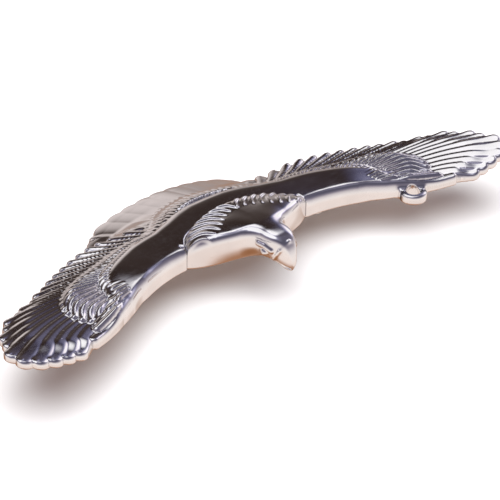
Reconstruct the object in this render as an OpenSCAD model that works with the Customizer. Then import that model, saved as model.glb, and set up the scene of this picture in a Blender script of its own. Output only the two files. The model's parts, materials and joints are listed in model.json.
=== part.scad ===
// Cast eagle badge with a pin back, in millimetres.
// The bird flies towards -Y with its back up (+Z); its left wing is on +X.
// Every shape is drawn on the badge's own datum (the flat back plane of the body at z = 0, the
// middle of the neck seat at y = 0) and then moved as one, so that the origin is under the middle.

/* [Eagle] */
// Distance between the wing tips
wing_span = 75.6; // [60:0.1:90]
// How far the wing tips rise above the back plane
wing_rise = 2.84; // [1:0.01:4]
// How far the rear edge of the tail hangs below the back plane
tail_drop = 2.5; // [1.5:0.1:2.6]
// How much further the sides of the tail hang than its middle
tail_arch = 2; // [0:0.1:2.1]
// Height of the casting's rim along the leading edge
rim_height = 1.2; // [1:0.05:1.6]
// Height of the smooth arm behind the leading edge
arm_height = 2.7; // [2:0.05:3.2]
// Height of the rows of feathers at the trailing edge
feather_height = 1.0; // [0.8:0.05:1.4]

/* [Head and neck] */
// Width of the neck and shoulder ruff
neck_width = 18.2; // [16:0.1:20]
// Height of the neck over the back plane
neck_height = 4.6; // [4:0.05:5.2]
// Height of the seat that the head casting stands on
seat_height = 1.4; // [1:0.05:1.8]
// Thickness of the head casting's front wall, which laps down over the seat
skirt_wall = 1.0; // [0.7:0.05:1.3]
// Radius of the posts that hold the head casting
post_r = 0.8; // [0.6:0.05:1]

/* [Chain eye] */
// Radius of the hole for a safety chain
eye_r = 0.85; // [0.7:0.05:1]
// Width of metal around the hole
eye_wall = 0.85; // [0.7:0.05:1.1]
// Thickness of the eye
eye_height = 1.2; // [1:0.05:1.4]

/* [Pin set] */
// Distance between the middles of the hinge and the catch
pin_reach = 30; // [26:0.5:32]
// Radius of the pin's wire
wire_r = 0.45; // [0.35:0.01:0.5]
// Distance of the wire's axis from the faces that the pin set is soldered to
wire_drop = 2.2; // [2.1:0.05:2.6]
// Radius of the two soldered bases
base_r = 2.6; // [2.3:0.05:3]
// Thickness of the two soldered bases
base_height = 0.6; // [0.5:0.05:0.7]
// Radius of the hinge rivet
rivet_r = 0.5; // [0.4:0.01:0.55]
// Angle that the safety rotor turns
rotor_turn = 80; // [78:1:85]

/* [Hidden] */
$fn = 48;
tall = 20;

silver = [0.72, 0.72, 0.75];
nickel = [0.78, 0.77, 0.74];
steel = [0.62, 0.63, 0.66];

// Ribs from the middle of the badge to a wing tip: where each starts on the leading edge and
// where it ends on the trailing edge, as [x, y, x, y], for a wing span of 75.6.
ribs = [
    [0.0, -3.6, 0.0, 17.3],
    [4.6, -2.8, 6.0, 17.1],
    [9.2, -0.4, 10.5, 15.9],
    [11.2, -0.6, 12.2, 12.6],
    [14.0, -1.3, 14.8, 9.5],
    [18.4, -3.2, 20.2, 7.6],
    [21.8, -5.0, 25.2, 4.8],
    [25.2, -6.7, 29.9, 2.4],
    [28.6, -8.9, 33.8, 0.6],
    [32.6, -9.3, 36.2, -2.4],
    [36.0, -8.8, 37.4, -4.6],
    [37.3, -7.8, 37.8, -6.2]
];
span_scale = wing_span / 75.6;
stations = 28;
chords = [0, 0.02, 0.07, 0.15, 0.24, 0.34, 0.44, 0.54, 0.66, 0.78, 0.9, 1];

// Wings: rise from this distance out, over this length, as this power of the way
rise_start = 9;
rise_length = 28;
rise_power = 2.07;
// Tail: drop from this distance back, over this length, within this half width
drop_start = 7;
drop_length = 10.3;
tail_half = 13;
tail_blend = 3;

rear_depth = 17.3;
front_depth = 9.3;
origin_y = (rear_depth - front_depth) / 2;

eye_x = 21.6;
eye_y = -6.1;
solder_z = -0.2;
axis_z = solder_z - wire_drop;
pin_y = 4.4;
hinge_x = pin_reach / 2;
catch_x = -pin_reach / 2;
shell_r = 1.65;
rotor_r = 0.95;
rotor_gap = 0.05;
origin_z = axis_z - shell_r;

function blend(t) = let(s = min(max(t, 0), 1)) s * s * (3 - 2 * s);
function spline(a, b, c, d, t) =
    0.5 * (2 * b + (c - a) * t + (2 * a - 5 * b + 4 * c - d) * t * t + (3 * b - a - 3 * c + d) * t * t * t);
function rib(k) = k < 0 ? [-ribs[-k][0], ribs[-k][1], -ribs[-k][2], ribs[-k][3]] : ribs[min(k, len(ribs) - 1)];
function rib_at(s) =
    let(k = min(floor(s), len(ribs) - 2))
    spline(rib(k - 1), rib(k), rib(k + 1), rib(k + 2), s - k);

// Under side of the casting
function wing_lift(x) =
    wing_rise * pow(max(abs(x) - rise_start, 0) / rise_length, rise_power);
function tail_sink(x, y) =
    (tail_drop * pow(min(max(y - drop_start, 0) / drop_length, 1), 1.3)
     + tail_arch * pow(x / 12, 2) * blend((y - 9) / 4))
    * (1 - blend((abs(x) - tail_half) / tail_blend));
function under(x, y) = wing_lift(x) - tail_sink(x, y);

// Height of metal over the under side, at a fraction s of the half span and v of the chord
function arm_crest(s) = arm_height - 0.5 * blend((s - 0.35) / 0.3) - 0.7 * blend((s - 0.62) / 0.3);
function metal(s, v) =
    let(arm = blend(v / 0.14), fall = blend((v - 0.3) / 0.5), crest = arm_crest(s))
    v == 0 ? rim_height * 0.75 : rim_height + (crest - rim_height) * arm - (crest - feather_height) * fall;

// A closed solid over a grid: top and bottom points, with rows along x and columns along y
module grid_solid(top, bottom) {
    rows = len(top);
    cols = len(top[0]);
    half = rows * cols;
    function t(i, j) = i * cols + j;
    function b(i, j) = half + t(i, j);
    points = concat([for (r = top) each r], [for (r = bottom) each r]);
    faces = concat(
        [for (i = [0:rows - 2], j = [0:cols - 2]) each [
            [t(i, j), t(i + 1, j + 1), t(i + 1, j)], [t(i, j), t(i, j + 1), t(i + 1, j + 1)],
            [b(i, j), b(i + 1, j), b(i + 1, j + 1)], [b(i, j), b(i + 1, j + 1), b(i, j + 1)]]],
        [for (i = [0:rows - 2]) each [
            [t(i, 0), t(i + 1, 0), b(i + 1, 0)], [t(i, 0), b(i + 1, 0), b(i, 0)],
            [t(i + 1, cols - 1), t(i, cols - 1), b(i, cols - 1)],
            [t(i + 1, cols - 1), b(i, cols - 1), b(i + 1, cols - 1)]]],
        [for (j = [0:cols - 2]) each [
            [t(0, j + 1), t(0, j), b(0, j)], [t(0, j + 1), b(0, j), b(0, j + 1)],
            [t(rows - 1, j), t(rows - 1, j + 1), b(rows - 1, j + 1)],
            [t(rows - 1, j), b(rows - 1, j + 1), b(rows - 1, j)]]]);
    polyhedron(points, faces, convexity = 6);
}

// Wings, back and tail as one smooth casting, without the seat and the eye
module wing_shell() {
    last = len(ribs) - 1;
    grid = [for (i = [-stations:stations])
        let(s = abs(i) / stations, r = rib_at(s * last), side = i < 0 ? -1 : 1)
        [for (v = chords)
            let(x = side * span_scale * (r[0] + (r[2] - r[0]) * v), y = r[1] + (r[3] - r[1]) * v)
            [x, y, under(x, y), metal(s, v)]]];
    grid_solid([for (r = grid) [for (p = r) [p[0], p[1], p[2] + p[3]]]],
               [for (r = grid) [for (p = r) [p[0], p[1], p[2]]]]);
}

// Plan of the neck: an ellipse behind, a flatter curve in front
neck_half = neck_width / 2;
nape_depth = 4.1;
breast_depth = 3.2;
shoulder_y = -0.5;
function nape_y(x) = shoulder_y + nape_depth * sqrt(max(1 - pow(x / neck_half, 2), 0));
function breast_y(x) = shoulder_y - breast_depth * (1 - pow(min(abs(x) / neck_half, 1), 1.9));

module neck_plan(wall) {
    half = neck_half - wall;
    steps = 20;
    xs = [for (i = [-steps:steps]) half * sin(90 * i / steps)];
    polygon(concat([for (x = xs) [x, breast_y(x * neck_half / half) + wall]],
                   [for (i = [steps - 1:-1:1 - steps]) [xs[i + steps], nape_y(xs[i + steps])]]));
}

module seat() {
    difference() {
        translate([0, 0, -tall / 2]) linear_extrude(tall) neck_plan(0);
        translate([0, 0, -tall / 2]) linear_extrude(tall / 2 + seat_height) neck_plan(skirt_wall);
    }
}

module at_posts() {
    for (x = [-4.5, 4.5])
        translate([x, 1, 0]) children();
}

module at_eye() {
    translate([eye_x * span_scale, eye_y, wing_lift(eye_x)]) children();
}

module wing_casting() {
    color(silver) difference() {
        union() {
            wing_shell();
            at_eye() cylinder(r = eye_r + eye_wall, h = eye_height);
            for (x = [hinge_x, catch_x])
                translate([x, pin_y, solder_z]) cylinder(r = base_r + 0.2, h = 1);
        }
        seat();
        at_posts() translate([0, 0, -1]) cylinder(r = post_r, h = tall);
        at_eye() translate([0, 0, -tall / 2]) cylinder(r = eye_r, h = tall);
        at_eye() translate([0, 0, eye_height]) cylinder(r = eye_r + 0.3, h = tall);
    }
}

// Neck and shoulders: a dome over the plan, steep in front and cut off behind
module neck() {
    steps = 16;
    slices = [0, 0.08, 0.2, 0.35, 0.5, 0.65, 0.8, 0.92, 1];
    grid = [for (i = [-steps:steps])
        let(x = neck_half * 0.985 * sin(90 * i / steps), a = breast_y(x), b = nape_y(x),
            crest = neck_height - (neck_height - 2.5) * pow(abs(x) / neck_half, 2))
        [for (v = slices)
            [x, a + (b - a) * v, crest * (0.4 + 0.6 * blend(0.25 + v / 0.9) - 0.16 * blend((v - 0.55) / 0.45))]]];
    grid_solid(grid, [for (r = grid) [for (p = r) [p[0], p[1], 0]]]);
}

// Head: a round skull that narrows forwards, and a hooked beak
module skull() {
    translate([0, -0.6, 2.2]) rotate([90, 0, 0]) rotate_extrude()
        polygon([[0, 0], [2.1, 0], [2.15, 2.6], [2.0, 4.1], [1.7, 5.3], [1.25, 6.3], [0.8, 7.0], [0, 7.5]]);
}

module beak() {
    translate([0, -5.6, 2.1]) rotate([118, 0, 0]) rotate_extrude()
        polygon([[0, 0], [1.35, 0], [1.25, 1], [0.85, 2.1], [0.4, 2.8], [0, 3]]);
}

module head_casting() {
    color(silver) {
        difference() {
            union() {
                neck();
                skull();
                beak();
            }
            translate([0, 0, -tall / 2]) linear_extrude(tall / 2 + seat_height) neck_plan(skirt_wall);
        }
        at_posts() translate([0, 0, -0.3]) cylinder(r = post_r, h = seat_height + 1.3);
        at_posts() translate([0, 0, -0.35]) cylinder(r = post_r + 0.45, h = 0.35);
    }
}

module base_disc(x) {
    translate([x, pin_y, solder_z - base_height]) cylinder(r = base_r, h = base_height);
}

// Cylinder along Y, centred on the pin's height, at the hinge
module across(r, w) {
    translate([hinge_x, pin_y + w / 2, axis_z]) rotate([90, 0, 0]) cylinder(r = r, h = w);
}

eye_width = 1.2;
ear_gap = 1.3;
ear_wall = 0.5;
ear_r = 1.05;

module hinge_bracket() {
    color(nickel) difference() {
        union() {
            base_disc(hinge_x);
            for (side = [-1, 1])
                translate([hinge_x, pin_y + side * (ear_gap + ear_wall) / 2, 0]) {
                    translate([0, ear_wall / 2, axis_z]) rotate([90, 0, 0]) cylinder(r = ear_r, h = ear_wall);
                    translate([-ear_r, -ear_wall / 2, axis_z])
                        cube([2 * ear_r, ear_wall, solder_z - base_height / 2 - axis_z]);
                }
        }
        across(rivet_r, 10);
    }
}

module hinge_rivet() {
    color(nickel) {
        across(rivet_r, ear_gap + 2 * ear_wall + 0.6);
        for (side = [-1, 1])
            translate([0, side * (ear_gap / 2 + ear_wall + 0.15), 0]) across(rivet_r + 0.3, 0.3);
    }
}

// Wire along X from x0 to x1, with radii r0 and r1
module wire(x0, x1, r0, r1) {
    translate([x0, pin_y, axis_z]) rotate([0, -90, 0]) cylinder(r1 = r0, r2 = r1, h = x0 - x1);
}

neck_end = hinge_x - 1.8;
shank_end = catch_x + 4;
taper_end = catch_x - 1.6;
point_r = 0.08;
taper_r = wire_r - 0.07;

module pin_stem() {
    color(steel) difference() {
        union() {
            across(1.0, eye_width);
            wire(hinge_x - 0.7, neck_end, wire_r + 0.25, wire_r);
            wire(neck_end, shank_end, wire_r, wire_r);
            wire(shank_end, taper_end, wire_r, taper_r);
            wire(taper_end, taper_end - 1.8, taper_r, point_r);
        }
        across(rivet_r + 0.05, 10);
    }
}

// Tube along X at the catch, with its opening facing down
module open_tube(outer, inner, width, opening) {
    translate([catch_x - width / 2, pin_y, axis_z]) rotate([90, 0, 90]) difference() {
        cylinder(r = outer, h = width);
        translate([0, 0, -1]) cylinder(r = inner, h = width + 2);
        translate([-opening / 2, -outer - 1, -1]) cube([opening, outer + 1, width + 2]);
    }
}

shell_width = 2.6;
slot_width = 1.0;
tab_angle = 155;

// Fan of plan angles around the catch axis, counted from +Y towards +Z
module sector(from, to, r, width) {
    translate([catch_x - width / 2, pin_y, axis_z]) rotate([90, 0, 90]) linear_extrude(width)
        polygon(concat([[0, 0]], [for (i = [0:8]) let(a = from + (to - from) * i / 8) r * [cos(a), sin(a)]]));
}

module catch_base() {
    color(nickel) {
        difference() {
            union() {
                base_disc(catch_x);
                open_tube(shell_r, rotor_r + rotor_gap, shell_width, 1.3);
                translate([catch_x - shell_width / 2, pin_y - 0.9, axis_z + 1.35])
                    cube([shell_width, 1.8, wire_drop - 1.35 - base_height / 2]);
            }
            sector(tab_angle - 22, tab_angle + rotor_turn + 22, shell_r + 2, slot_width);
        }
    }
}

module catch_rotor() {
    color(nickel) {
        open_tube(rotor_r, 0.55, shell_width + 0.4, 1.1);
        translate([catch_x, pin_y, axis_z]) rotate([tab_angle, 0, 0])
            translate([-0.4, rotor_r - 0.2, -0.3]) cube([0.8, 1.6, 0.6]);
    }
}

module placed() {
    translate([0, -origin_y, -origin_z]) children();
}

placed() wing_casting();
placed() head_casting();
placed() hinge_bracket();
placed() hinge_rivet();
placed() pin_stem();
placed() catch_base();
placed() catch_rotor();
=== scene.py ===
"""Cast eagle badge: detailed castings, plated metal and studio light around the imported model."""

import math

import bpy
import numpy as np
import openvdb as vdb
from mathutils import Matrix, Vector
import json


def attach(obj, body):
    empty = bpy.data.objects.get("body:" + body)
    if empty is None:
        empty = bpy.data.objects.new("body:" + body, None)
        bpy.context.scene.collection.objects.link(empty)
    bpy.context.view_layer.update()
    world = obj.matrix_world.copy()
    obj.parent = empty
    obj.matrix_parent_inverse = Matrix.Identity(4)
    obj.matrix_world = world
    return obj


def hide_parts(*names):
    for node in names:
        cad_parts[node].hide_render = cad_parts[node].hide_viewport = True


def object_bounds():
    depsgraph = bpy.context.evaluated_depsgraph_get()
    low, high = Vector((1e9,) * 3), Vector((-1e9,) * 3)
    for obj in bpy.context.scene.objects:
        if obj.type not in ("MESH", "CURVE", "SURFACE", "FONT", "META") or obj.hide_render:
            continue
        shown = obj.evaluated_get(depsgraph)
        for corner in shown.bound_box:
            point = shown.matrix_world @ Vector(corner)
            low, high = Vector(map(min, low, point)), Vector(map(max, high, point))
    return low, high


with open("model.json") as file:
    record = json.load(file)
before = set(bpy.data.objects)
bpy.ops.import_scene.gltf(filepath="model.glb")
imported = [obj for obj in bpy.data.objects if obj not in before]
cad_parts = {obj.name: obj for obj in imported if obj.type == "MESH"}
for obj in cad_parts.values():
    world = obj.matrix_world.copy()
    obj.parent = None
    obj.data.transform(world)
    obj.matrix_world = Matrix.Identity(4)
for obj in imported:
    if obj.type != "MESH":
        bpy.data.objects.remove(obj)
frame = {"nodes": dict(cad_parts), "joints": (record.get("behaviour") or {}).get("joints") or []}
cad_low, cad_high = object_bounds()

# ---------------------------------------------------------------- frame
# Shapes are worked out in millimetres on the badge's datum: x = 0 is the middle of the bird,
# z = 0 is the flat back plane of its body. The pin's hinge fixes where the datum is.
MM = 0.001
HINGE_ON_DATUM = Vector((15.0, 4.4, -2.4))
hinge_place = Vector(next(j for j in frame["joints"] if j["name"] == "stem_hinge")["pos_m"])
DATUM = hinge_place - HINGE_ON_DATUM * MM
HALF_SPAN = (cad_high.x - cad_low.x) / 2 / MM

VOXEL = 0.095
HEAD_VOXEL = 0.08


def blend(t):
    """Smooth step from 0 to 1."""
    t = np.clip(t, 0, 1)
    return t * t * (3 - 2 * t)


def soft_min(a, b, radius):
    """Smaller of two fields, rounded over the radius where they meet."""
    h = np.clip(0.5 + 0.5 * (b - a) / radius, 0, 1)
    return b * (1 - h) + a * h - radius * h * (1 - h)


def soft_max(a, b, radius):
    return -soft_min(-a, -b, radius)


def curve(points, count=24):
    """Smooth line of count points through a few control points."""
    p = np.array(points, float)
    p = np.vstack([2 * p[0] - p[1], p, 2 * p[-1] - p[-2]])
    out = []
    for s in np.linspace(0, len(points) - 1, count):
        k = min(int(s), len(points) - 2)
        t = s - k
        a, b, c, d = p[k:k + 4]
        out.append(0.5 * (2 * b + (c - a) * t + (2 * a - 5 * b + 4 * c - d) * t ** 2
                          + (3 * b - a - 3 * c + d) * t ** 3))
    return np.array(out)


def at(line, t):
    """Point at a fraction t of a line's length."""
    steps = np.r_[0, np.cumsum(np.linalg.norm(np.diff(line, axis=0), axis=1))]
    return np.array([np.interp(t * steps[-1], steps, line[:, i]) for i in range(line.shape[1])])


def nearest(line, x, y):
    """Fraction along the line, distance, and side (+1 left, -1 right), for each grid point."""
    steps = np.r_[0, np.cumsum(np.linalg.norm(np.diff(line, axis=0), axis=1))]
    best = np.full(x.shape, 1e9)
    frac = np.zeros(x.shape)
    side = np.ones(x.shape)
    for k in range(len(line) - 1):
        a, d = line[k], line[k + 1] - line[k]
        size = d @ d
        t = np.clip(((x - a[0]) * d[0] + (y - a[1]) * d[1]) / size, 0, 1)
        px, py = x - a[0] - t * d[0], y - a[1] - t * d[1]
        far = px * px + py * py
        closer = far < best
        best = np.where(closer, far, best)
        frac = np.where(closer, (steps[k] + t * math.sqrt(size)) / steps[-1], frac)
        side = np.where(closer, np.where(d[0] * py - d[1] * px >= 0, 1.0, -1.0), side)
    return frac, np.sqrt(best), side


# ---------------------------------------------------------------- relief
SKIRT_REACH = 0.8


class Relief:
    """Height of metal over the back (mm) and distance inside the outline, on a plan grid."""

    def __init__(self, xs, ys):
        self.xs, self.ys = xs, ys
        self.x, self.y = np.meshgrid(xs, ys, indexing="ij")
        self.height = np.zeros(self.x.shape)
        self.inside = np.full(self.x.shape, -1e3)
        self.skirt = np.zeros(self.x.shape)

    def window(self, line, reach):
        """Part of the grid within reach of a line."""
        low, high = line.min(0) - reach, line.max(0) + reach
        i = slice(*np.searchsorted(self.xs, [low[0], high[0]]))
        j = slice(*np.searchsorted(self.ys, [low[1], high[1]]))
        return i, j

    def ridge(self, line, widths, shape, edge=True):
        """Lay a long raised form on the relief. shape(t, q, side) is its height at the fraction t
        of its length and the fraction q of its half width; widths(t) is the half width."""
        i, j = self.window(line, 1.5 * float(np.max(widths(np.linspace(0, 1, 9)))) + 0.5)
        x, y = self.x[i, j], self.y[i, j]
        if x.size == 0:
            return
        t, far, side = nearest(line, x, y)
        half = widths(t)
        q = far / half
        height = np.where(q < 1, shape(t, np.minimum(q, 1), side), 0)
        self.height[i, j] = np.maximum(self.height[i, j], height)
        if edge:
            self.inside[i, j] = np.maximum(self.inside[i, j], half - far)
            past = np.where((q >= 1) & (far - half < SKIRT_REACH), shape(t, 1.0, side), 0)
            self.skirt[i, j] = np.maximum(self.skirt[i, j], past)

    def full_height(self):
        """Heights, carried level for a little way past the outline so that walls come out even."""
        return np.where(self.height > 0, self.height, self.skirt)


# Under side of the casting, as in the design
RISE, RISE_START, RISE_LENGTH, RISE_POWER = 2.84, 9.0, 28.0, 2.07
DROP, DROP_START, DROP_LENGTH, DROP_POWER = 2.5, 7.0, 10.3, 1.3
ARCH, TAIL_HALF, TAIL_BLEND = 2.0, 13.0, 3.0


def under(x, y):
    lift = RISE * (np.maximum(np.abs(x) - RISE_START, 0) / RISE_LENGTH) ** RISE_POWER
    sink = DROP * np.clip((y - DROP_START) / DROP_LENGTH, 0, 1) ** DROP_POWER
    sink = sink + ARCH * (x / 12) ** 2 * blend((y - 9) / 4)
    return lift - sink * (1 - blend((np.abs(x) - TAIL_HALF) / TAIL_BLEND))


# Lines of the left wing on the plan. Flight feathers run from the covert edge to the outline.
COVERT_ROOTS = curve([(7.4, 5.8), (12.4, 5.3), (16.2, 4.0), (19.6, 2.2), (22.6, 0.4), (24.2, -1.6),
                      (24.0, -3.4), (22.6, -4.6)], 60)
FLIGHT_TIPS = curve([(10.4, 9.0), (13.4, 8.9), (16.8, 8.0), (20.2, 6.7), (24.6, 4.4), (29.2, 1.7),
                     (33.2, -0.4), (35.2, -2.9), (36.2, -5.2), (35.6, -7.1), (33.2, -7.9),
                     (29.8, -8.0)], 90)
FLIGHT_COUNT = 24


def feather_line(root, tip, bow, skew=0.5, count=14):
    """Middle line of a feather; bow pushes its middle to the left, as a fraction of its length."""
    root, tip = np.array(root), np.array(tip)
    way = tip - root
    middle = root + skew * way + bow * np.array([-way[1], way[0]])
    return curve([root, middle, tip], count)


def lay_flight_feathers(relief):
    """Long feathers that overlap like shingles: each is highest along its rear edge."""
    for k in range(FLIGHT_COUNT):
        t0 = k / (FLIGHT_COUNT - 1)
        outer = blend((t0 - 0.4) / 0.35)
        root, tip = at(COVERT_ROOTS, 0.02 + 0.95 * t0), at(FLIGHT_TIPS, t0 ** 0.92)
        short = k % 2 * blend((t0 - 0.3) / 0.2) * (1 - blend((t0 - 0.72) / 0.1))
        tip = tip - 0.4 * short * (tip - root) / np.linalg.norm(tip - root)
        line = feather_line(root, tip, 0.10 * (t0 - 0.45))
        size = 0.80 + 0.20 * outer - 0.1 * short
        crown = 0.22 + 0.06 * outer
        tilt = 0.18 - 0.12 * outer
        edge = 2.2 + 2.3 * outer
        length = float(np.linalg.norm(line[-1] - line[0]))

        def widths(t, size=size):
            return size * (0.62 + 0.38 * blend(t / 0.55))

        def shape(t, q, side, crown=crown, tilt=tilt, edge=edge, length=length, outer=outer):
            end = blend((t - 0.70) / 0.30)
            barbs = 0.02 * (1 - outer) * np.sin(6.283 * (t * length - 0.5 * q) / 0.5) * (1 - end)
            soft = 1 - 0.6 * end * outer
            base = 0.95 + (0.25 - 0.20 * outer) * (1 - t) - 0.12 * outer * end
            return base + soft * (crown * (1 - q ** edge) + tilt * side * q) + barbs

        relief.ridge(line, widths, shape)


def lay_web(relief):
    """Thin metal that closes the gaps between the feathers near their roots."""
    line = curve([(8.5, 5.0), (13, 5.0), (18, 3.0), (22, 0.4), (25.5, -2.4), (29.5, -4.2),
                  (32.0, -5.0)], 60)

    def widths(t):
        return np.interp(t, [0, 0.15, 0.5, 0.8, 1], [4.2, 4.3, 4.5, 4.1, 3.0])

    def shape(t, q, side):
        return 0.55 + 0 * q

    relief.ridge(line, widths, shape)


ARM_LINE = curve([(-1, 3.0), (3, 3.0), (6.5, 2.8), (9.5, 2.45), (12.4, 1.95), (15.6, 0.75), (18.2, -0.75),
                  (20.4, -2.7), (22.4, -4.55), (24.6, -6.0), (27.2, -7.2)], 160)


def arm_rounding(x, y):
    """Radius of the casting's upper edge: larger along the front of the arm."""
    ahead = np.interp(np.abs(x), ARM_LINE[:, 0], ARM_LINE[:, 1]) - y
    return 0.3 + 0.75 * blend(ahead) * blend((np.abs(x) - 8) / 2) * (1 - blend((np.abs(x) - 20) / 4))


def lay_arm(relief):
    """Smooth back and front of the wing, in one sweep from the middle of the bird to the wrist."""

    def widths(t):
        return np.interp(t, [0, 0.11, 0.18, 0.245, 0.327, 0.445, 0.61, 0.74, 0.83, 0.91, 1],
                         [5.4, 5.2, 4.6, 3.8, 3.1, 2.95, 2.55, 1.75, 1.0, 0.75, 0.6])

    def shape(t, q, side):
        crest = 2.62 - 0.62 * blend((t - 0.55) / 0.30) - 0.75 * blend((t - 0.76) / 0.2)
        front = crest - 0.22 * q ** 6
        behind = crest - 0.7 * q ** 7
        return np.where(side < 0, front, behind)

    relief.ridge(ARM_LINE, widths, shape)


def lay_wrist(relief):
    """Short feathers that sweep over the end of the arm."""
    for k in range(3):
        line = curve([(19.8 + 0.5 * k, -2.1 - 0.85 * k), (22.2 + 0.4 * k, -3.3 - 0.8 * k),
                      (24.9 + 0.5 * k, -4.5 - 0.75 * k)], 16)

        def widths(t):
            return 0.30 + 0.22 * blend(t / 0.7)

        def shape(t, q, side):
            return 1.8 + 0.3 * blend(t / 0.3) - 0.75 * t ** 1.3 + 0.28 * (1 - q ** 2)

        relief.ridge(line, widths, shape, edge=False)


# Rows of coverts: root line, tip line, number, height at the body, height at the wrist
COVERT_ROWS = (
    (curve([(7.6, 4.2), (12.0, 4.4), (16.4, 2.9), (19.2, 1.6), (21.2, 0.6), (21.6, -1.0),
            (21.0, -2.4), (20.4, -3.6)], 60),
     curve([(8.8, 7.3), (13.6, 6.4), (17.6, 4.9), (21.4, 3.3), (24.6, 1.4), (26.4, -0.9), (26.4, -3.2),
            (25.0, -4.9), (23.4, -5.8)], 80), 38, 1.50, 1.55),
    (curve([(8.4, 3.0), (12.6, 3.2), (15.6, 1.8), (17.6, 0.9), (18.4, -0.4), (18.8, -1.8),
            (19.4, -3.2)], 60),
     curve([(9.6, 5.9), (13.4, 5.3), (16.9, 3.7), (19.6, 2.1), (21.0, 0.3), (21.2, -1.8), (21.2, -3.4),
            (21.8, -4.6)], 80), 34, 2.05, 1.95),
)
COVERT_BUNCHING = 1.45


def lay_coverts(relief):
    """Two rows of small feathers behind the arm; they grow broader and hook round at the wrist."""
    for roots, tips, count, at_body, at_wrist in COVERT_ROWS:
        run = float(np.sum(np.linalg.norm(np.diff(tips, axis=0), axis=1)))
        for k in range(count):
            u = (k + 0.5) / count
            t0 = u ** COVERT_BUNCHING
            spacing = run / count * COVERT_BUNCHING * u ** (COVERT_BUNCHING - 1)
            wrist = blend((t0 - 0.35) / 0.35)
            line = feather_line(at(roots, t0), at(tips, t0), 0.04 + 0.11 * wrist, 0.58)
            size = 0.56 * spacing + 0.06
            base = at_body + (at_wrist - at_body) * wrist

            def widths(t, size=size):
                return size * (0.55 + 0.45 * blend(t / 0.7))

            def shape(t, q, side, base=base, size=size):
                drop = 0.45 * blend((t - 0.55) / 0.45)
                return base + 0.12 * (1 - t) + 0.85 * size * (1 - q ** 2) + 0.10 * side * q - drop

            relief.ridge(line, widths, shape, edge=False)


def lay_back(relief):
    """Two rings of coverts behind the smooth back."""
    edge_in = curve([(0, 8.8), (3.0, 8.2), (5.2, 6.8), (7.2, 5.2), (9.2, 4.2)], 40)
    edge_out = curve([(0, 12.4), (3.6, 11.4), (6.4, 9.4), (8.2, 7.9), (10.2, 7.2)], 40)
    count = 14
    for row in (0, 1):
        for k in range(count):
            t0 = (k + 0.5 * row) / (count - 1)
            if t0 > 1:
                continue
            a, b = at(edge_in, t0), at(edge_out, t0)
            tip = b if row == 0 else a + 0.55 * (b - a)
            line = curve([a, (a + tip) / 2, tip], 8)

            def widths(t, row=row):
                return (0.60 - 0.05 * row) * (0.7 + 0.3 * blend(t / 0.6))

            def shape(t, q, side, row=row):
                drop = 0.35 * blend((t - 0.55) / 0.45)
                return 1.45 + 0.40 * row + 0.35 * (1 - t) + 0.16 * (1 - q ** 2) - drop

            relief.ridge(line, widths, shape, edge=False)


TAIL_TIPS = curve([(0, 15.4), (2.9, 15.4), (5.8, 15.3), (8.5, 15.0), (10.5, 13.9)], 40)


def lay_tail(relief):
    """Fan of broad tail feathers, the middle one on top."""
    count = 5
    for k in range(count, -1, -1):
        root = np.array([0.9 * k, 5.4])
        tip = at(TAIL_TIPS, k / count)
        line = feather_line(root, tip, -0.02 * k, 0.5, 40)

        def widths(t):
            return 1.15 + 0.75 * blend(t / 0.85)

        def shape(t, q, side, k=k):
            lean = np.where(side < 0, 0.5, 0.1) * q ** 1.3 * (k == count)
            return 1.0 + 0.35 * (1 - t) + 0.14 * (1 - q ** 2.5) - 0.04 * k - lean

        relief.ridge(line, widths, shape)


# ---------------------------------------------------------------- solids
def grid_axes(low, high, step):
    return [np.arange(a, b + step, step) for a, b in zip(low, high)]


def surface(field, axes, step):
    """Vertices and quads of the surface where a field on a box of voxels is zero (positive inside)."""
    band = 3 * step
    grid = vdb.FloatGrid(float(band))
    grid.copyFromArray(np.clip(-field, -band, band).astype(np.float32))
    points, quads = grid.convertToQuads(0.0)
    corner = np.array([a[0] for a in axes])
    return relax(points, quads) * step + corner, quads


def relax(points, quads, rounds=2):
    """Even out the voxel steps: move each vertex half way to the mean of its neighbours."""
    ends = np.concatenate([quads[:, [i, (i + 1) % 4]] for i in range(4)])
    links = np.bincount(ends[:, 0], minlength=len(points))[:, None]
    for _ in range(rounds):
        sums = [np.bincount(ends[:, 0], points[ends[:, 1], i], len(points)) for i in range(3)]
        total = np.stack(sums, 1)
        points = 0.5 * points + 0.5 * total / links
    return points


def make_mesh(name, points, quads, hollow=None):
    """Mesh object in metres in the model's frame, from points in millimetres on the datum."""
    mesh = bpy.data.meshes.new(name)
    mesh.vertices.add(len(points))
    mesh.vertices.foreach_set("co", (points * MM + np.array(DATUM)).astype(np.float32).ravel())
    mesh.loops.add(quads.size)
    mesh.loops.foreach_set("vertex_index", quads.astype(np.int32).ravel())
    mesh.polygons.add(len(quads))
    mesh.polygons.foreach_set("loop_start", np.arange(0, quads.size, 4, dtype=np.int32))
    mesh.polygons.foreach_set("use_smooth", np.ones(len(quads), bool))
    mesh.update(calc_edges=True)
    # Hollow depth, the mask for the painted shade in the material.
    if hollow is not None:
        depths = mesh.attributes.new("hollow", "FLOAT", "POINT")
        depths.data.foreach_set("value", hollow.astype(np.float32))
    obj = bpy.data.objects.new(name, mesh)
    bpy.context.scene.collection.objects.link(obj)
    return obj


def sample(plane, xs, ys, x, y):
    """Bilinear look-up in a plan array."""
    u = np.clip((x - xs[0]) / (xs[1] - xs[0]), 0, len(xs) - 1.001)
    v = np.clip((y - ys[0]) / (ys[1] - ys[0]), 0, len(ys) - 1.001)
    i, j = u.astype(int), v.astype(int)
    a, b = u - i, v - j
    return ((plane[i, j] * (1 - a) + plane[i + 1, j] * a) * (1 - b)
            + (plane[i, j + 1] * (1 - a) + plane[i + 1, j + 1] * a) * b)


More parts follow.
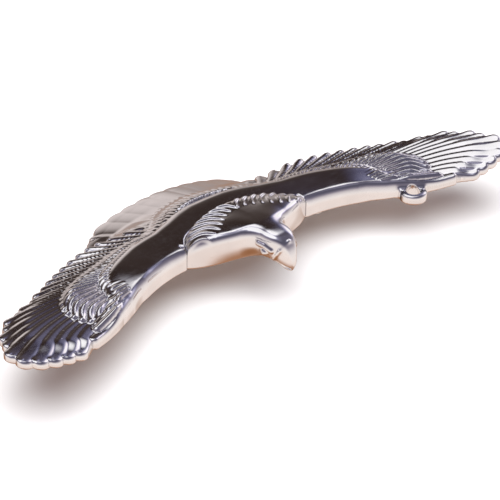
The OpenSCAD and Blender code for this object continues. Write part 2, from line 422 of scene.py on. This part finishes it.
def wing_relief():
    half = (np.arange(int((HALF_SPAN + 0.6) / VOXEL)) + 0.5) * VOXEL
    ys = np.arange(-10.6, 21.6, VOXEL)
    relief = Relief(half, ys)
    lay_web(relief)
    lay_tail(relief)
    lay_flight_feathers(relief)
    lay_coverts(relief)
    lay_back(relief)
    lay_arm(relief)
    lay_wrist(relief)
    height = relief.full_height()
    # Depth of each point below the nearby average height: the mask for the shade painted into the
    # hollows.
    hollow = smoothed(height, round(0.4 / VOXEL)) - height
    xs = np.r_[-half[::-1], half]
    height = np.vstack([height[::-1], height])
    hollow = np.vstack([hollow[::-1], hollow])
    inside = np.vstack([relief.inside[::-1], relief.inside])
    return xs, ys, height, inside, hollow


def smoothed(plane, reach):
    """Plan array averaged over a window of 2 * reach + 1 cells, in two passes."""
    for _ in range(2):
        for axis in (0, 1):
            pad = [(0, 0), (0, 0)]
            pad[axis] = (reach + 1, reach)
            total = np.cumsum(np.pad(plane, pad, mode="edge"), axis=axis)
            width = 2 * reach + 1
            ahead = [slice(None)] * 2
            behind = [slice(None)] * 2
            ahead[axis], behind[axis] = slice(width, None), slice(None, -width)
            plane = (total[tuple(ahead)] - total[tuple(behind)]) / width
    return plane


# Neck: plan outline and dome. Head: skull, jaw and beak, all in front of it.
NECK_HALF, NAPE, BREAST, SHOULDER = 9.1, 4.1, 3.2, -0.5
SEAT_HEIGHT, SKIRT = 1.4, 1.0
# Head sections: y, top, bottom and half width
HEAD = curve([(-8.6, 1.7, 0.9, 0.25), (-8.4, 2.5, 0.35, 0.5), (-8.1, 3.15, 0.05, 0.75),
              (-7.6, 3.7, 0.02, 1.1), (-7.0, 4.05, 0.3, 1.45), (-6.3, 4.27, 0.5, 1.8),
              (-5.4, 4.38, 0.5, 2.05), (-4.4, 4.42, 0.3, 2.2), (-3.0, 4.4, 0, 2.6),
              (-1.0, 4.3, 0, 3.2), (1.2, 4.2, 0.4, 2.4)], 160)
UP_ROUND, DOWN_ROUND, WIDEST = 2.6, 1.7, 0.5
POST_PLACES, POST_RADIUS, PEEN_RADIUS = ((4.5, 1.0), (-4.5, 1.0)), 0.8, 1.25


def nape_line(out):
    return SHOULDER + NAPE * np.sqrt(np.maximum(1 - out ** 2, 0))


def breast_line(out):
    return SHOULDER - BREAST * (1 - out ** 1.9)


def neck_relief():
    """Ruff of pointed feathers along the nape, on a plan grid of the left side."""
    relief = Relief(np.arange(0, 10.4, HEAD_VOXEL), np.arange(-6, 6, HEAD_VOXEL))
    outer = curve([(1.5, 3.5), (3.6, 3.3), (5.4, 2.8), (6.9, 2.1), (8.0, 1.2), (8.7, 0.3),
                   (8.9, -0.5)], 40)
    inner = curve([(-0.3, 1.2), (0.7, 1.3), (1.9, 0.8), (3.0, 0.0), (4.1, -0.8), (5.2, -1.5),
                   (6.5, -2.0)], 40)
    count = 8
    for k in range(count):
        t0 = (k + 0.3) / (count - 0.7)
        line = feather_line(at(inner, t0), at(outer, t0), 0.17, 0.5)

        def widths(t):
            return 0.10 + 0.15 * np.sin(2.9 * np.clip(t, 0, 1))

        def shape(t, q, side):
            return 0.22 * blend(t / 0.2) * (1 - q ** 2)

        relief.ridge(line, widths, shape)
    return relief


RUFF = neck_relief()


def head_distance(x, y, z):
    """Field of the head casting: positive inside."""
    out = np.clip(np.abs(x) / NECK_HALF, 0, 1)
    rear, front = nape_line(out), breast_line(out)
    tuck = 0.8 * (1 - blend((out - 0.35) / 0.6)) * np.clip(1 - z / 2.4, 0, 1) ** 2
    v = np.clip((y - front) / np.maximum(rear - front, 0.3), 0, 1)
    crest = np.interp(y, HEAD[:, 0], HEAD[:, 1]) - 1.3 * out ** 5
    ruff = sample(RUFF.height, RUFF.xs, RUFF.ys, np.abs(x), y)
    rear_fall = (0.35 + 0.7 * out) * blend((v - 0.1) / 1.0)
    front_fall = 0.3 * (1 - blend(v / 0.6)) * blend((np.abs(x) - 1) / 3)
    top = crest - rear_fall - front_fall + ruff
    side = np.minimum(np.minimum(rear - y, y - front - tuck), (NECK_HALF - np.abs(x)) * 0.8)
    roll = np.interp(y, [-8.6, -7, -5, -3.2, -1, 1, 3], [0.3, 0.5, 0.7, 1.0, 1.0, 0.8, 0.7])
    body = soft_min(top - z, soft_max(side, head_loft(x, y, z), 1.2), roll)
    body = soft_max(body, face(np.abs(x), y, z), 0.22)
    body = np.minimum(body, -mouth(np.abs(x), y, z))
    seat = np.minimum(np.minimum(SEAT_HEIGHT - z, y - front - SKIRT), NECK_HALF - SKIRT - np.abs(x))
    body = np.minimum(soft_min(body, z, 0.3), -seat)
    for post_x, post_y in POST_PLACES:
        far = np.hypot(x - post_x, y - post_y)
        body = np.maximum(body, np.minimum(POST_RADIUS - far, np.minimum(z + 0.3, 2.4 - z)))
        body = np.maximum(body, soft_min(PEEN_RADIUS - far, np.minimum(z + 0.35, -z), 0.2))
    return body


def head_section(y):
    """Half width, height of the widest place, and extent above and below it, at y. The section
    runs on above the flat top of the head, which cuts it off."""
    top, low, half = (np.interp(y, HEAD[:, 0], HEAD[:, i]) for i in (1, 2, 3))
    middle = low + WIDEST * (top - low)
    return half, middle, 1.35 * (top - middle), middle - low


def head_loft(x, y, z):
    """Head and beak as egg-shaped sections that change along the bird."""
    wide, middle, up, down = head_section(y)
    across, rise = np.abs(x) / wide, np.abs(z - middle)
    above = (across ** UP_ROUND + (rise / up) ** UP_ROUND) ** (1 / UP_ROUND)
    below = (across ** DOWN_ROUND + (rise / down) ** DOWN_ROUND) ** (1 / DOWN_ROUND)
    u = np.where(z > middle, above, below)
    ends = np.minimum((y - HEAD[0, 0]) * 0.9, HEAD[-1, 0] - y)
    return np.minimum((1 - u) * np.minimum(wide, up + down), ends)


def on_head(y, z):
    """Point on the left side of the head at y and z."""
    wide, middle, up, down = head_section(y)
    power, reach = (UP_ROUND, up) if z > middle else (DOWN_ROUND, down)
    return (float(wide * max(1 - (abs(z - middle) / reach) ** power, 0) ** (1 / power)), y, z)


def strip(x, y, z, points, radius):
    """Round bead through points."""
    bead = np.full(x.shape, -1e3)
    for a, b in zip(points, points[1:]):
        bead = np.maximum(bead, capsule(x, y, z, a, b, radius))
    return bead


def face(x, y, z):
    """Brow ridge, eye and raised edge of the beak's root on one side."""
    ridge = strip(x, y, z, [on_head(-4.7, 3.0), on_head(-5.6, 3.0), on_head(-6.5, 2.65)], 0.30)
    eye = ball(x, y, z, on_head(-5.6, 2.2), (0.40, 0.50, 0.40))
    top = float(np.interp(-7.5, HEAD[:, 0], HEAD[:, 1]))
    cere = strip(x, y, z, [(0, -7.5, top - 0.05), on_head(-7.4, 2.9), on_head(-7.1, 2.3),
                           on_head(-6.6, 1.5)], 0.19)
    return np.maximum(np.maximum(ridge, eye), cere)


def mouth(x, y, z):
    """Cut along the mouth on one side."""
    return strip(x, y, z, [on_head(-6.1, 1.35), on_head(-6.8, 1.1), on_head(-7.7, 0.75),
                           (0.3, -8.2, 0.5)], 0.18)


def ball(x, y, z, centre, radii):
    """Egg shape with a radius along each axis."""
    d = [(p - c) / r for p, c, r in zip((x, y, z), centre, radii)]
    return (1 - np.sqrt(d[0] ** 2 + d[1] ** 2 + d[2] ** 2)) * min(radii)


def capsule(x, y, z, a, b, radius):
    """Round-ended bar from a to b."""
    a, b = np.array(a, float), np.array(b, float)
    d = b - a
    t = np.clip(((x - a[0]) * d[0] + (y - a[1]) * d[1] + (z - a[2]) * d[2]) / (d @ d), 0, 1)
    far = np.sqrt((x - a[0] - t * d[0]) ** 2 + (y - a[1] - t * d[1]) ** 2 + (z - a[2] - t * d[2]) ** 2)
    return radius - far


# Chain eye, the pads that the pin set is soldered to, and the gap around the head casting
LUG_PLACE, LUG_RADIUS, LUG_WALL, LUG_HEIGHT = (21.6, -6.1), 0.85, 0.85, 1.2
PAD_RADIUS, PAD_DROP, PAD_PLACES = 2.8, 0.2, ((15, 4.4), (-15, 4.4))
SEAM = 0.06


def wing_field(xs, ys, zs, top, base, lean, inside, rounding):
    """Field of the wing casting over part of the plan: positive inside."""
    x, y, z = xs[:, None, None], ys[None, :, None], zs[None, None, :]
    field = soft_min((top[:, :, None] - z) * lean[:, :, None], inside[:, :, None], rounding[:, :, None])
    field = soft_min(field, z - base[:, :, None], 0.15)
    for pad_x, pad_y in PAD_PLACES:
        pad = PAD_RADIUS - np.hypot(x - pad_x, y - pad_y)
        field = np.maximum(field, np.minimum(pad, np.minimum(z + PAD_DROP, 1 - z)))
    eye_far = np.hypot(x - LUG_PLACE[0], y - LUG_PLACE[1])
    eye_base = float(under(LUG_PLACE[0], LUG_PLACE[1]))
    eye_level = np.minimum(z - eye_base, eye_base + LUG_HEIGHT - z)
    lug = soft_min(LUG_RADIUS + LUG_WALL - eye_far, eye_level, 0.35)
    field = np.minimum(soft_max(field, lug, 0.6), eye_far - LUG_RADIUS)
    if np.abs(xs).min() < NECK_HALF + 1:
        near = slice(*np.searchsorted(ys, [-9, 5.4]))
        grid = np.meshgrid(xs, ys[near], zs, indexing="ij")
        field[:, near] = np.minimum(field[:, near], -head_distance(*grid) - SEAM)
    return field


def build_wings():
    xs, ys, height, inside, hollow = wing_relief()
    zs = np.arange(-4.4, 5.4, VOXEL)
    px, py = np.meshgrid(xs, ys, indexing="ij")
    base = under(px, py)
    top = base + height
    slope_x, slope_y = np.gradient(top, VOXEL)
    lean = 1 / np.sqrt(1 + np.minimum(slope_x ** 2 + slope_y ** 2, 12))
    out = np.clip(np.abs(px) / NECK_HALF, 0, 1)
    behind_breast = np.where(np.abs(px) < NECK_HALF, py - breast_line(out) - SKIRT, 9)
    inside = np.minimum(inside, behind_breast)
    rounding = arm_rounding(px, py)
    field = np.empty((len(xs), len(ys), len(zs)), np.float32)
    for start in range(0, len(xs), 48):
        part = slice(start, start + 48)
        field[part] = wing_field(xs[part], ys, zs, top[part], base[part], lean[part], inside[part],
                                 rounding[part])
    points, quads = surface(field, (xs, ys, zs), VOXEL)
    # Carry the hollow depth onto the mesh, where the silver material paints shade by it.
    depth = sample(hollow, xs, ys, points[:, 0], points[:, 1])
    above = blend((points[:, 2] - under(points[:, 0], points[:, 1])) / 0.5)
    return make_mesh("wings", points, quads, depth * above)


def build_head():
    axes = grid_axes((-9.8, -9.6, -1.0), (9.8, 5.0, 5.4), HEAD_VOXEL)
    x, y, z = np.meshgrid(*axes, indexing="ij")
    points, quads = surface(head_distance(x, y, z), axes, HEAD_VOXEL)
    return make_mesh("head", points, quads)


# ---------------------------------------------------------------- materials
def add_math(nodes, links, operation, a, b):
    node = nodes.new("ShaderNodeMath")
    node.operation = operation
    for value, socket in ((a, node.inputs[0]), (b, node.inputs[1])):
        if isinstance(value, (int, float)):
            socket.default_value = value
        else:
            links.new(value, socket)
    return node.outputs[0]


def metal_material(name, colour, rough, painted_shade=None, grain=0.25):
    """Plated metal: fine polish marks, dust-sized pits and, where it has hollows, painted shade that
    darkens them.
    """
    mat = bpy.data.materials.new(name)
    mat.use_nodes = True
    nodes, links = mat.node_tree.nodes, mat.node_tree.links
    shader = nodes["Principled BSDF"]
    shader.inputs["Metallic"].default_value = 1.0
    where = nodes.new("ShaderNodeTexCoord").outputs["Object"]

    def noise(scale, detail, stretch=(1, 1, 1)):
        mapping = nodes.new("ShaderNodeMapping")
        mapping.inputs["Scale"].default_value = stretch
        links.new(where, mapping.inputs["Vector"])
        node = nodes.new("ShaderNodeTexNoise")
        node.inputs["Scale"].default_value = scale
        node.inputs["Detail"].default_value = detail
        links.new(mapping.outputs["Vector"], node.inputs["Vector"])
        return node.outputs["Fac"]

    def mapped(value, low, high, to_low, to_high):
        node = nodes.new("ShaderNodeMapRange")
        links.new(value, node.inputs["Value"])
        node.inputs["From Min"].default_value = low
        node.inputs["From Max"].default_value = high
        node.inputs["To Min"].default_value = to_low
        node.inputs["To Max"].default_value = to_high
        return node.outputs["Result"]

    cloud = noise(350, 3)
    polish = noise(1500, 2, (0.25, 1.6, 1))
    roughness = add_math(nodes, links, "ADD", mapped(cloud, 0.3, 0.7, rough * 0.75, rough * 1.2),
                         mapped(polish, 0.35, 0.75, 0, rough * 0.5))
    tint = nodes.new("ShaderNodeMix")
    tint.data_type = "RGBA"
    links.new(mapped(cloud, 0.35, 0.65, 0, 1), tint.inputs["Factor"])
    tint.inputs["A"].default_value = (*(c * 0.94 for c in colour), 1)
    tint.inputs["B"].default_value = (*colour, 1)
    base = tint.outputs["Result"]
    # Painted shade: the deeper a point lies in a hollow, the more its colour is pulled toward a
    # near-black shade colour. This stands in for shade and dark reflections in the grooves. The hollows
    # are also made a little rougher.
    if painted_shade:
        hollow = nodes.new("ShaderNodeAttribute")
        hollow.attribute_name = "hollow"
        shade_in_hollows = mapped(hollow.outputs["Fac"], 0.05, 0.32, 0, 0.9)
        dark = nodes.new("ShaderNodeMix")
        dark.data_type = "RGBA"
        links.new(shade_in_hollows, dark.inputs["Factor"])
        links.new(base, dark.inputs["A"])
        dark.inputs["B"].default_value = (*painted_shade, 1)
        base = dark.outputs["Result"]
        matt = add_math(nodes, links, "MULTIPLY", shade_in_hollows, 0.18)
        roughness = add_math(nodes, links, "ADD", roughness, matt)
    links.new(base, shader.inputs["Base Color"])
    links.new(roughness, shader.inputs["Roughness"])

    pits = nodes.new("ShaderNodeTexVoronoi")
    pits.inputs["Scale"].default_value = 900
    links.new(where, pits.inputs["Vector"])
    sparse = mapped(noise(260, 0), 0.58, 0.66, 0, 1)
    pit = add_math(nodes, links, "MULTIPLY", mapped(pits.outputs["Distance"], 0.0, 0.16, 1, 0), sparse)
    surface_marks = add_math(nodes, links, "ADD", pit, add_math(nodes, links, "MULTIPLY", polish, grain))
    bump = nodes.new("ShaderNodeBump")
    bump.inputs["Strength"].default_value = 0.35
    bump.inputs["Distance"].default_value = 0.00003
    links.new(surface_marks, bump.inputs["Height"])
    links.new(bump.outputs["Normal"], shader.inputs["Normal"])
    return mat


# The near-black colour given for the hollows is painted shade.
silver = metal_material("silver_plate", (0.90, 0.885, 0.895), 0.085, painted_shade=(0.07, 0.06, 0.09))
nickel = metal_material("nickel_plate", (0.78, 0.75, 0.70), 0.20)
steel = metal_material("spring_wire", (0.60, 0.60, 0.62), 0.22)

wings = build_wings()
wings.data.materials.append(silver)
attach(wings, "badge")
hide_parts("wing_casting")
head = build_head()
head.data.materials.append(silver)
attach(head, "badge")
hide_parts("head_casting")
for node, mat in (("hinge_bracket", nickel), ("hinge_rivet", nickel), ("catch_base", nickel),
                  ("catch_rotor", nickel), ("pin_stem", steel)):
    mesh = frame["nodes"][node].data
    mesh.materials.clear()
    mesh.materials.append(mat)

# ---------------------------------------------------------------- stage, light and camera
CAMERA_TURN, CAMERA_RISE, CAMERA_ROLL = (math.radians(a) for a in (41.66, 32.71, -1.55))
CAMERA_DISTANCE = 212.7 * MM


def make_camera():
    a, e, r = CAMERA_TURN, CAMERA_RISE, CAMERA_ROLL
    right = Vector((math.cos(a), -math.sin(a), 0))
    up = Vector((math.sin(a) * math.sin(e), math.cos(a) * math.sin(e), math.cos(e)))
    back = Vector((-math.sin(a) * math.cos(e), -math.cos(a) * math.cos(e), math.sin(e)))
    right, up = (math.cos(r) * right - math.sin(r) * up), (math.sin(r) * right + math.cos(r) * up)
    data = bpy.data.cameras.new("camera")
    data.lens = 130.9
    data.sensor_width = 36
    data.clip_start, data.clip_end = 0.01, 10
    cam = bpy.data.objects.new("camera", data)
    place = DATUM + back * CAMERA_DISTANCE + right * 0.60 * MM - up * 0.99 * MM
    turn = Matrix((right, up, back)).transposed().to_4x4()
    cam.matrix_world = Matrix.Translation(place) @ turn
    bpy.context.scene.collection.objects.link(cam)
    bpy.context.scene.camera = cam


def make_floor():
    mesh = bpy.data.meshes.new("floor")
    s = 1.2
    mesh.from_pydata([(-s, -s, 0), (s, -s, 0), (s, s, 0), (-s, s, 0)], [], [(0, 1, 2, 3)])
    floor = bpy.data.objects.new("floor", mesh)
    bpy.context.scene.collection.objects.link(floor)
    mat = bpy.data.materials.new("floor_paper")
    mat.use_nodes = True
    shader = mat.node_tree.nodes["Principled BSDF"]
    shader.inputs["Base Color"].default_value = (0.86, 0.85, 0.84, 1)
    shader.inputs["Roughness"].default_value = 0.9
    mesh.materials.append(mat)
    floor.visible_glossy = False


def make_floor_light():
    """Broad light over the table that the metal doesn't mirror."""
    data = bpy.data.lights.new("table_light", "AREA")
    data.size = 1.2
    data.energy = 14
    light = bpy.data.objects.new("table_light", data)
    light.location = (-0.1, -0.1, 0.8)
    light.visible_glossy = False
    bpy.context.scene.collection.objects.link(light)


def ramp(nodes, name, stops):
    """Colour ramp node with (position, colour) stops."""
    node = nodes.new("ShaderNodeValToRGB")
    node.name = name
    node.color_ramp.interpolation = "B_SPLINE"
    while len(node.color_ramp.elements) < len(stops):
        node.color_ramp.elements.new(0.5)
    for element, (place, colour) in zip(node.color_ramp.elements, stops):
        element.position = place
        element.color = (*colour, 1)
    return node


BOX_REACH = 60


def angle_stop(degrees):
    """Place on a softbox ramp of an angle from the softbox's middle."""
    low = math.cos(math.radians(BOX_REACH))
    return (math.cos(math.radians(degrees)) - low) / (1 - low)


def height_stop(degrees):
    """Place on a room ramp of an elevation."""
    return (math.sin(math.radians(degrees)) + 1) / 2


# Softboxes: the way to the middle of each, and its colour by the angle from there
TOP_AXIS = (-0.10, 0.35, 0.93)
TOP_STOPS = [(angle_stop(46), (0, 0, 0)), (angle_stop(42), (0, 0, 0)),
             (angle_stop(36), (0.04, 0.036, 0.046)), (angle_stop(29), (0.12, 0.11, 0.15)),
             (angle_stop(24), (0.24, 0.23, 0.32)), (angle_stop(19), (1.1, 1.1, 1.15)),
             (angle_stop(0), (1.7, 1.7, 1.7))]
REAR_AXIS = (0.44, 0.48, 0.76)
REAR_STOPS = [(angle_stop(14), (0, 0, 0)), (angle_stop(12), (0, 0, 0)),
              (angle_stop(9.5), (0.30, 0.30, 0.36)), (angle_stop(6.5), (1.2, 1.2, 1.2)),
              (angle_stop(0), (1.4, 1.4, 1.4))]
SIDE_AXIS = (0.84, 0.34, 0.42)
SIDE_STOPS = [(angle_stop(25), (0, 0, 0)), (angle_stop(21), (0, 0, 0.01)),
              (angle_stop(17), (0.16, 0.18, 0.34)), (angle_stop(13), (0.95, 0.88, 1.0)),
              (angle_stop(0), (1.3, 1.2, 1.3))]
WALL_AXIS = (0.40, 0.90, 0.15)
WALL_STOPS = [(angle_stop(20), (0, 0, 0)), (angle_stop(16), (0, 0, 0)),
              (angle_stop(11), (0.30, 0.27, 0.26)), (angle_stop(0), (0.46, 0.42, 0.41))]
# Room: colour by elevation, on the far side and on the camera's side
FRONT_AXIS = (-0.30, -0.95, 0)
BACK_STOPS = [(height_stop(-80), (0.30, 0.13, 0.06)), (height_stop(-30), (0.36, 0.17, 0.08)),
              (height_stop(-8), (0.42, 0.36, 0.34)), (height_stop(4), (0.34, 0.30, 0.29)),
              (height_stop(18), (0.040, 0.024, 0.017)), (height_stop(50), (0.016, 0.010, 0.008)),
              (height_stop(80), (0.02, 0.018, 0.03))]
FRONT_STOPS = [(height_stop(-80), (0.34, 0.15, 0.07)), (height_stop(-62), (0.44, 0.22, 0.12)),
               (height_stop(-42), (0.95, 0.80, 0.72)), (height_stop(-8), (1.0, 0.94, 0.90)),
               (height_stop(16), (0.60, 0.54, 0.56)), (height_stop(36), (0.20, 0.18, 0.24)),
               (height_stop(60), (0.08, 0.075, 0.11)), (height_stop(85), (0.12, 0.12, 0.16))]


def make_world():
    """Soft studio: softboxes overhead, behind and to the side, a dark brown room with one pale wall,
    and a bright table in front."""
    world = bpy.data.worlds.new("studio")
    world.use_nodes = True
    nodes, links = world.node_tree.nodes, world.node_tree.links
    where = nodes.new("ShaderNodeTexCoord")

    def along(axis):
        axis = Vector(axis).normalized()
        dot = nodes.new("ShaderNodeVectorMath")
        dot.operation = "DOT_PRODUCT"
        links.new(where.outputs["Generated"], dot.inputs[0])
        dot.inputs[1].default_value = axis
        return dot.outputs["Value"]

    def scaled(value, low, high):
        span = nodes.new("ShaderNodeMapRange")
        span.inputs["From Min"].default_value = low
        span.inputs["From Max"].default_value = high
        links.new(value, span.inputs["Value"])
        return span.outputs["Result"]

    back_half = ramp(nodes, "back_half", BACK_STOPS)
    front_half = ramp(nodes, "front_half", FRONT_STOPS)
    height = scaled(along((0, 0, 1)), -1, 1)
    links.new(height, back_half.inputs["Fac"])
    links.new(height, front_half.inputs["Fac"])
    room = nodes.new("ShaderNodeMix")
    room.data_type = "RGBA"
    links.new(scaled(along(FRONT_AXIS), -0.62, -0.25), room.inputs["Factor"])
    links.new(back_half.outputs["Color"], room.inputs["A"])
    links.new(front_half.outputs["Color"], room.inputs["B"])
    total = room.outputs["Result"]
    for name, axis, stops in (("top_box", TOP_AXIS, TOP_STOPS), ("side_box", SIDE_AXIS, SIDE_STOPS),
                              ("rear_box", REAR_AXIS, REAR_STOPS), ("wall", WALL_AXIS, WALL_STOPS)):
        box = ramp(nodes, name, stops)
        links.new(scaled(along(axis), math.cos(math.radians(BOX_REACH)), 1), box.inputs["Fac"])
        both = nodes.new("ShaderNodeVectorMath")
        both.operation = "ADD"
        links.new(total, both.inputs[0])
        links.new(box.outputs["Color"], both.inputs[1])
        total = both.outputs["Vector"]
    links.new(total, nodes["Background"].inputs["Color"])
    bpy.context.scene.world = world


make_camera()
make_floor()
make_floor_light()
make_world()
bpy.context.scene.view_settings.view_transform = "Standard"
